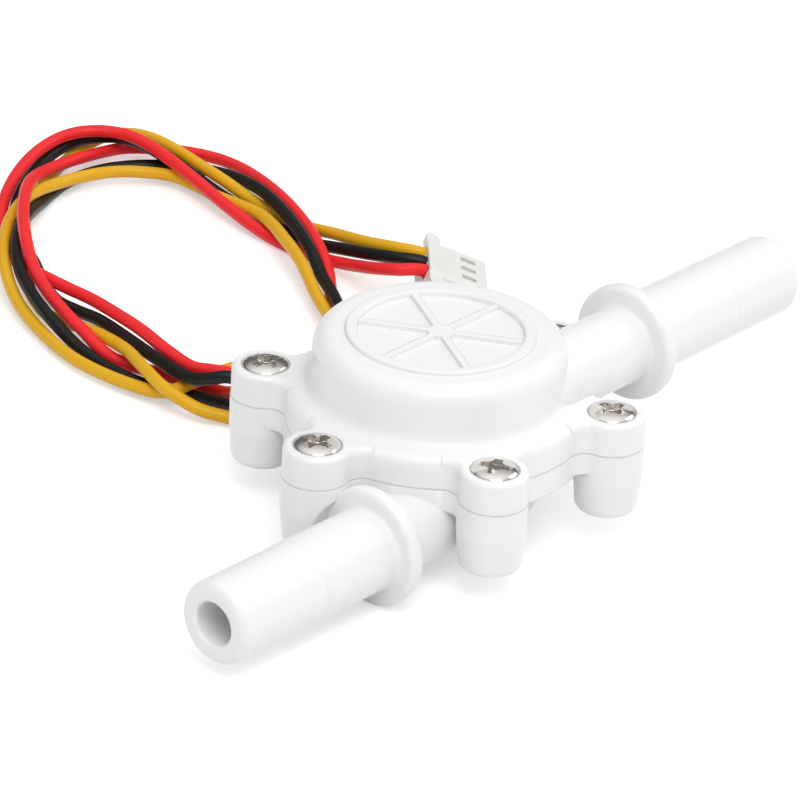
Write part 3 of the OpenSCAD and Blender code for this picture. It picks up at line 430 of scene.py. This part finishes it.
def grow(name, mesh, tree, **values):
    """Runs a geometry tree on a mesh and keeps the result as a plain mesh object."""
    start = bpy.data.objects.new(name + "_start", mesh)
    bpy.context.scene.collection.objects.link(start)
    modifier = start.modifiers.new("Grow", "NODES")
    modifier.node_group = tree
    for item in tree.interface.items_tree:
        if item.item_type == "SOCKET" and item.in_out == "INPUT" and item.name in values:
            modifier[item.identifier] = values[item.name]
    start.update_tag()
    graph = bpy.context.evaluated_depsgraph_get()
    graph.update()
    result = bpy.data.meshes.new_from_object(start.evaluated_get(graph), preserve_all_data_layers=True,
                                             depsgraph=graph)
    bpy.data.objects.remove(start)
    result.name = name
    piece = bpy.data.objects.new(name, result)
    bpy.context.scene.collection.objects.link(piece)
    return piece


def line_mesh(name, points, closed=False):
    mesh = bpy.data.meshes.new(name)
    edges = [(i, i + 1) for i in range(len(points) - 1)]
    if closed:
        edges.append((len(points) - 1, 0))
    mesh.from_pydata([tuple(p) for p in points], edges, [])
    return mesh


# Operators, one for each piece or group of like pieces


class FLOW_OT_stage(bpy.types.Operator):
    """Add the camera, the white floor and the soft lights"""

    bl_idname = "flow.stage"
    bl_label = "Stage"

    def execute(self, context):
        settings = context.scene.flow_stage
        self.camera(context)
        self.floor(context)
        self.world(context, settings)
        self.lamp(context, "key_light", settings.key, KEY_SIZE, KEY_PLACE)
        self.lamp(context, "fill_light", settings.fill, FILL_SIZE, FILL_PLACE)
        context.scene.view_settings.view_transform = "Standard"
        return {"FINISHED"}

    def camera(self, context):
        a, e = CAMERA_AZIMUTH, CAMERA_ELEVATION
        level_right = Vector((math.cos(a), math.sin(a), 0))
        back = Vector((math.sin(a) * math.cos(e), -math.cos(a) * math.cos(e), math.sin(e)))
        level_up = back.cross(level_right)
        right = level_right * math.cos(CAMERA_ROLL) - level_up * math.sin(CAMERA_ROLL)
        up = level_right * math.sin(CAMERA_ROLL) + level_up * math.cos(CAMERA_ROLL)
        data = bpy.data.cameras.new("camera")
        data.sensor_width = SENSOR_WIDTH
        data.lens = FOCAL_PIXELS / IMAGE_PIXELS * SENSOR_WIDTH
        data.clip_start = 0.01
        camera = bpy.data.objects.new("camera", data)
        place = (Vector((0, 0, BOSS_TOP_Z)) + CAMERA_RIGHT * right + CAMERA_UP * up
                 + CAMERA_DISTANCE * back)
        camera.matrix_world = Matrix.Translation(place) @ Matrix((right, up, back)).transposed().to_4x4()
        context.scene.collection.objects.link(camera)
        context.scene.camera = camera

    def floor(self, context):
        mesh = bpy.data.meshes.new("floor")
        corners = [(-FLOOR_HALF, -FLOOR_HALF, 0), (FLOOR_HALF, -FLOOR_HALF, 0),
                   (FLOOR_HALF, FLOOR_HALF, 0), (-FLOOR_HALF, FLOOR_HALF, 0)]
        mesh.from_pydata(corners, [], [(0, 1, 2, 3)])
        floor = bpy.data.objects.new("floor", mesh)
        context.scene.collection.objects.link(floor)
        material = bpy.data.materials.new("white_floor")
        material.use_nodes = True
        tree = material.node_tree
        tree.nodes.clear()
        out = add(tree, "ShaderNodeOutputMaterial", 400, 0)
        paint = add(tree, "ShaderNodeBsdfDiffuse", -200, 100)
        paint.inputs["Color"].default_value = (0.8, 0.8, 0.8, 1)
        glow = add(tree, "ShaderNodeEmission", -200, -100)
        light_path = add(tree, "ShaderNodeLightPath", -600, -100)
        seen = add(tree, "ShaderNodeMath", -400, -100, operation="MAXIMUM")
        strength = add(tree, "ShaderNodeMath", -300, -250, operation="MULTIPLY")
        strength.inputs[1].default_value = FLOOR_GLOW
        both = add(tree, "ShaderNodeAddShader", 100, 0)
        link = tree.links.new
        link(light_path.outputs["Is Camera Ray"], seen.inputs[0])
        link(light_path.outputs["Is Glossy Ray"], seen.inputs[1])
        link(seen.outputs[0], strength.inputs[0])
        link(strength.outputs[0], glow.inputs["Strength"])
        link(paint.outputs[0], both.inputs[0])
        link(glow.outputs[0], both.inputs[1])
        link(both.outputs[0], out.inputs["Surface"])
        mesh.materials.append(material)

    def world(self, context, settings):
        world = bpy.data.worlds.new("studio")
        context.scene.world = world
        world.use_nodes = True
        tree = world.node_tree
        tree.nodes.clear()
        out = add(tree, "ShaderNodeOutputWorld", 400, 0)
        sky = add(tree, "ShaderNodeBackground", 200, 0)
        sky.inputs["Color"].default_value = (1, 1, 1, 1)
        light_path = add(tree, "ShaderNodeLightPath", -400, 0)
        seen = add(tree, "ShaderNodeMath", -200, 0, operation="MAXIMUM")
        place = add(tree, "ShaderNodeTexCoord", -800, -200)
        parts = add(tree, "ShaderNodeSeparateXYZ", -600, -200)
        height = add(tree, "ShaderNodeMapRange", -400, -200)
        height.inputs["From Min"].default_value = 0.05
        height.inputs["From Max"].default_value = 0.8
        height.inputs["To Min"].default_value = settings.ambient * LOW_SKY_SHARE
        height.inputs["To Max"].default_value = settings.ambient
        reflected = add(tree, "ShaderNodeMapRange", -400, -500)
        reflected.inputs["From Min"].default_value = 0.46
        reflected.inputs["From Max"].default_value = 0.95
        reflected.inputs["To Min"].default_value = REFLECTED_SKY[0]
        reflected.inputs["To Max"].default_value = REFLECTED_SKY[1]
        lit = add(tree, "ShaderNodeMix", -200, -300, data_type="FLOAT")
        level = add(tree, "ShaderNodeMix", 0, 0, data_type="FLOAT")
        level.inputs[3].default_value = 1
        link = tree.links.new
        link(place.outputs["Generated"], parts.inputs["Vector"])
        link(parts.outputs["Z"], height.inputs["Value"])
        link(light_path.outputs["Is Camera Ray"], seen.inputs[0])
        link(light_path.outputs["Is Transmission Ray"], seen.inputs[1])
        link(seen.outputs[0], level.inputs[0])
        link(parts.outputs["Z"], reflected.inputs["Value"])
        link(light_path.outputs["Is Glossy Ray"], lit.inputs[0])
        link(height.outputs[0], lit.inputs[2])
        link(reflected.outputs[0], lit.inputs[3])
        link(lit.outputs[0], level.inputs[2])
        link(level.outputs[0], sky.inputs["Strength"])
        link(sky.outputs[0], out.inputs["Surface"])

    def lamp(self, context, name, power, size, place):
        data = bpy.data.lights.new(name, "AREA")
        data.energy = power
        data.shape = "DISK"
        data.size = size
        lamp = bpy.data.objects.new(name, data)
        aim = LAMP_AIM - place
        lamp.matrix_world = Matrix.Translation(place) @ aim.to_track_quat("-Z", "Y").to_matrix().to_4x4()
        context.scene.collection.objects.link(lamp)


class FLOW_OT_wires(bpy.types.Operator):
    """Add the three wires that run from the potting to the connector"""

    bl_idname = "flow.wires"
    bl_label = "Wires"

    def execute(self, context):
        settings = context.scene.flow_wires
        on_the_wires = [NODES["connector_housing"]]
        for side, colour, route in ((-1, "red", RED_ROUTE), (0, "black", BLACK_ROUTE),
                                    (1, "yellow", YELLOW_ROUTE)):
            terminal = NODES["crimp_terminal_%d" % (side + 2)]
            with_pieces = [terminal] + (on_the_wires if side == 0 else [])
            self.wire(settings, side, colour, route, with_pieces)
        return {"FINISHED"}

    def wire(self, settings, side, colour, route, with_pieces):
        start = Vector((side * WIRE_PITCH, EXIT_Y, EXIT_Z))
        points = [start, start + EXIT_RUN]
        points += [Vector(p) * MM for p in route]
        points += [plug_point(-PLUG_EXIT, side * PIN_PITCH), plug_point(TERMINAL_REAR, side * PIN_PITCH)]
        path = smooth_path(points, 10)
        lowest = settings.diameter / 2 + 0.02 * MM
        for p in path:
            p.z = max(p.z, lowest)
        material = finish_material("insulation_" + colour, tuple(getattr(settings, colour)), 0.05,
                                   (0.36, 0.46), 400, 3000, share=0.5, bump=0.12, depth=0.02 * MM,
                                   along_surface=True, specular=0.3)
        piece = grow("insulation_" + colour, line_mesh("route_" + colour, path), tube_tree(),
                     Radius=settings.diameter / 2, Sides=settings.sides, Material=material)
        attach(piece, "housing")
        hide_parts("wire_" + colour)


class FLOW_OT_housing(bpy.types.Operator):
    """Give the base and the cover their moulded white finish"""

    bl_idname = "flow.housing"
    bl_label = "Housing"

    def execute(self, context):
        settings = context.scene.flow_housing
        plastic = finish_material("white_moulding", tuple(settings.plastic), 0.012, (0.3, 0.4), 60, 1800,
                                  share=0.35, bump=0.06, depth=0.03 * MM, soft_edge=settings.soft_edge)
        dress(plastic, "base_housing", "top_cover")
        return {"FINISHED"}


class FLOW_OT_screws(bpy.types.Operator):
    """Give the six cover screws their plated finish"""

    bl_idname = "flow.screws"
    bl_label = "Cover Screws"

    def execute(self, context):
        settings = context.scene.flow_screws
        nickel = finish_material("nickel_plate", tuple(settings.nickel), 0.08, (0.1, 0.22), 900, 5000,
                                 share=0.5, bump=0.1, depth=0.02 * MM, metallic=1.0, soft_edge=0.06 * MM)
        dress(nickel, *["cover_screw_%d" % k for k in range(1, 7)])
        return {"FINISHED"}


class FLOW_OT_rotor(bpy.types.Operator):
    """Give the rotor, its magnet, shaft and washers and the seal ring their finishes"""

    bl_idname = "flow.rotor"
    bl_label = "Rotor"

    def execute(self, context):
        dress(finish_material("rotor_moulding", (0.05, 0.05, 0.055), 0.06, (0.4, 0.5), 200, 2500, bump=0.1,
                              soft_edge=0.1 * MM), "rotor")
        dress(finish_material("ferrite", (0.06, 0.06, 0.065), 0.15, (0.35, 0.6), 900, 6000, bump=0.3),
              "rotor_magnet")
        dress(finish_material("ground_steel", (0.62, 0.62, 0.63), 0.05, (0.12, 0.2), 800, 6000,
                              metallic=1.0), "rotor_shaft")
        dress(finish_material("washer_moulding", (0.7, 0.69, 0.65), 0.03, (0.35, 0.45), 300, 3000),
              "lower_washer", "upper_washer")
        dress(finish_material("seal_rubber", (0.02, 0.02, 0.02), 0.1, (0.55, 0.7), 500, 4000, bump=0.2),
              "seal_ring")
        return {"FINISHED"}


class FLOW_OT_sensor(bpy.types.Operator):
    """Give the circuit board, its parts and the potting their finishes"""

    bl_idname = "flow.sensor"
    bl_label = "Sensor Board"

    def execute(self, context):
        dress(finish_material("solder_mask", (0.01, 0.09, 0.035), 0.1, (0.25, 0.35), 500, 3000, coat=0.3),
              "sensor_board")
        dress(finish_material("chip_moulding", (0.02, 0.02, 0.02), 0.15, (0.5, 0.65), 900, 7000, bump=0.3),
              "sensor_chip")
        dress(finish_material("tan_ceramic", (0.32, 0.2, 0.1), 0.1, (0.4, 0.5), 900, 7000, bump=0.2),
              "board_capacitor")
        dress(finish_material("black_ceramic", (0.02, 0.02, 0.022), 0.1, (0.3, 0.4), 900, 7000, bump=0.2),
              "board_resistor")
        dress(finish_material("potting_resin", (0.72, 0.71, 0.67), 0.03, (0.22, 0.4), 250, 1500, share=0.4,
                              bump=0.35, depth=0.08 * MM, coat=0.2), "potting")
        return {"FINISHED"}


class FLOW_OT_connector(bpy.types.Operator):
    """Give the connector housing and its terminals their finishes"""

    bl_idname = "flow.connector"
    bl_label = "Connector"

    def execute(self, context):
        settings = context.scene.flow_housing
        dress(finish_material("ivory_moulding", tuple(settings.connector), 0.02, (0.35, 0.48), 150, 2500,
                              share=0.4, bump=0.1, soft_edge=0.1 * MM), "connector_housing")
        dress(finish_material("tin_plate", (0.72, 0.7, 0.64), 0.06, (0.2, 0.35), 900, 6000, bump=0.1,
                              metallic=1.0, soft_edge=0.05 * MM),
              "crimp_terminal_1", "crimp_terminal_2", "crimp_terminal_3")
        return {"FINISHED"}


class FLOW_OT_witness_rings(bpy.types.Operator):
    """Add the fine moulding rings round both stems"""

    bl_idname = "flow.witness_rings"
    bl_label = "Stem Witness Rings"

    def execute(self, context):
        settings = context.scene.flow_housing
        for name, mount, along in (("inlet_witness_ring", "inlet_stem", INLET_RING_X),
                                   ("outlet_witness_ring", "outlet_stem", OUTLET_RING_X)):
            _, y, z = MOUNTS[mount]["pos_m"]
            stem_r = MOUNTS[mount]["dims"]["r_mm"] * MM
            ring_r = stem_r - RING_HALF_WIDTH + settings.witness
            turns = [2 * math.pi * i / RING_STEPS for i in range(RING_STEPS)]
            circle = [Vector((along, y + ring_r * math.cos(t), z + ring_r * math.sin(t))) for t in turns]
            piece = grow(name, line_mesh(name, circle, closed=True), tube_tree(), Radius=RING_HALF_WIDTH,
                         Sides=12, Material=bpy.data.materials["white_moulding"])
            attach(piece, "housing")
        return {"FINISHED"}


class FLOW_PT_panel(bpy.types.Panel):
    """Sidebar list of the sensor's pieces"""

    bl_idname = "FLOW_PT_panel"
    bl_label = "Flow Sensor"
    bl_space_type = "VIEW_3D"
    bl_region_type = "UI"
    bl_category = "Flow Sensor"

    def draw(self, context):
        for operator in OPERATORS:
            self.layout.operator(operator.bl_idname)
        for name in SETTINGS:
            group = getattr(context.scene, name)
            for prop in group.bl_rna.properties:
                if prop.identifier not in {"name", "rna_type"}:
                    self.layout.prop(group, prop.identifier)


OPERATORS = (FLOW_OT_stage, FLOW_OT_wires, FLOW_OT_housing, FLOW_OT_screws, FLOW_OT_rotor, FLOW_OT_sensor,
             FLOW_OT_connector, FLOW_OT_witness_rings)
SETTINGS = {"flow_wires": WireSettings, "flow_housing": HousingSettings, "flow_screws": ScrewSettings,
            "flow_stage": StageSettings}


def register():
    for cls in (*SETTINGS.values(), *OPERATORS, FLOW_PT_panel):
        bpy.utils.register_class(cls)
    for name, cls in SETTINGS.items():
        setattr(bpy.types.Scene, name, bpy.props.PointerProperty(type=cls))


def unregister():
    for name in SETTINGS:
        delattr(bpy.types.Scene, name)
    for cls in (FLOW_PT_panel, *reversed(OPERATORS), *reversed(SETTINGS.values())):
        bpy.utils.unregister_class(cls)


def main():
    register()
    for step in (bpy.ops.flow.stage, bpy.ops.flow.wires, bpy.ops.flow.housing, bpy.ops.flow.screws,
                 bpy.ops.flow.rotor, bpy.ops.flow.sensor, bpy.ops.flow.connector,
                 bpy.ops.flow.witness_rings):
        step()


if __name__ == "__main__":
    main()
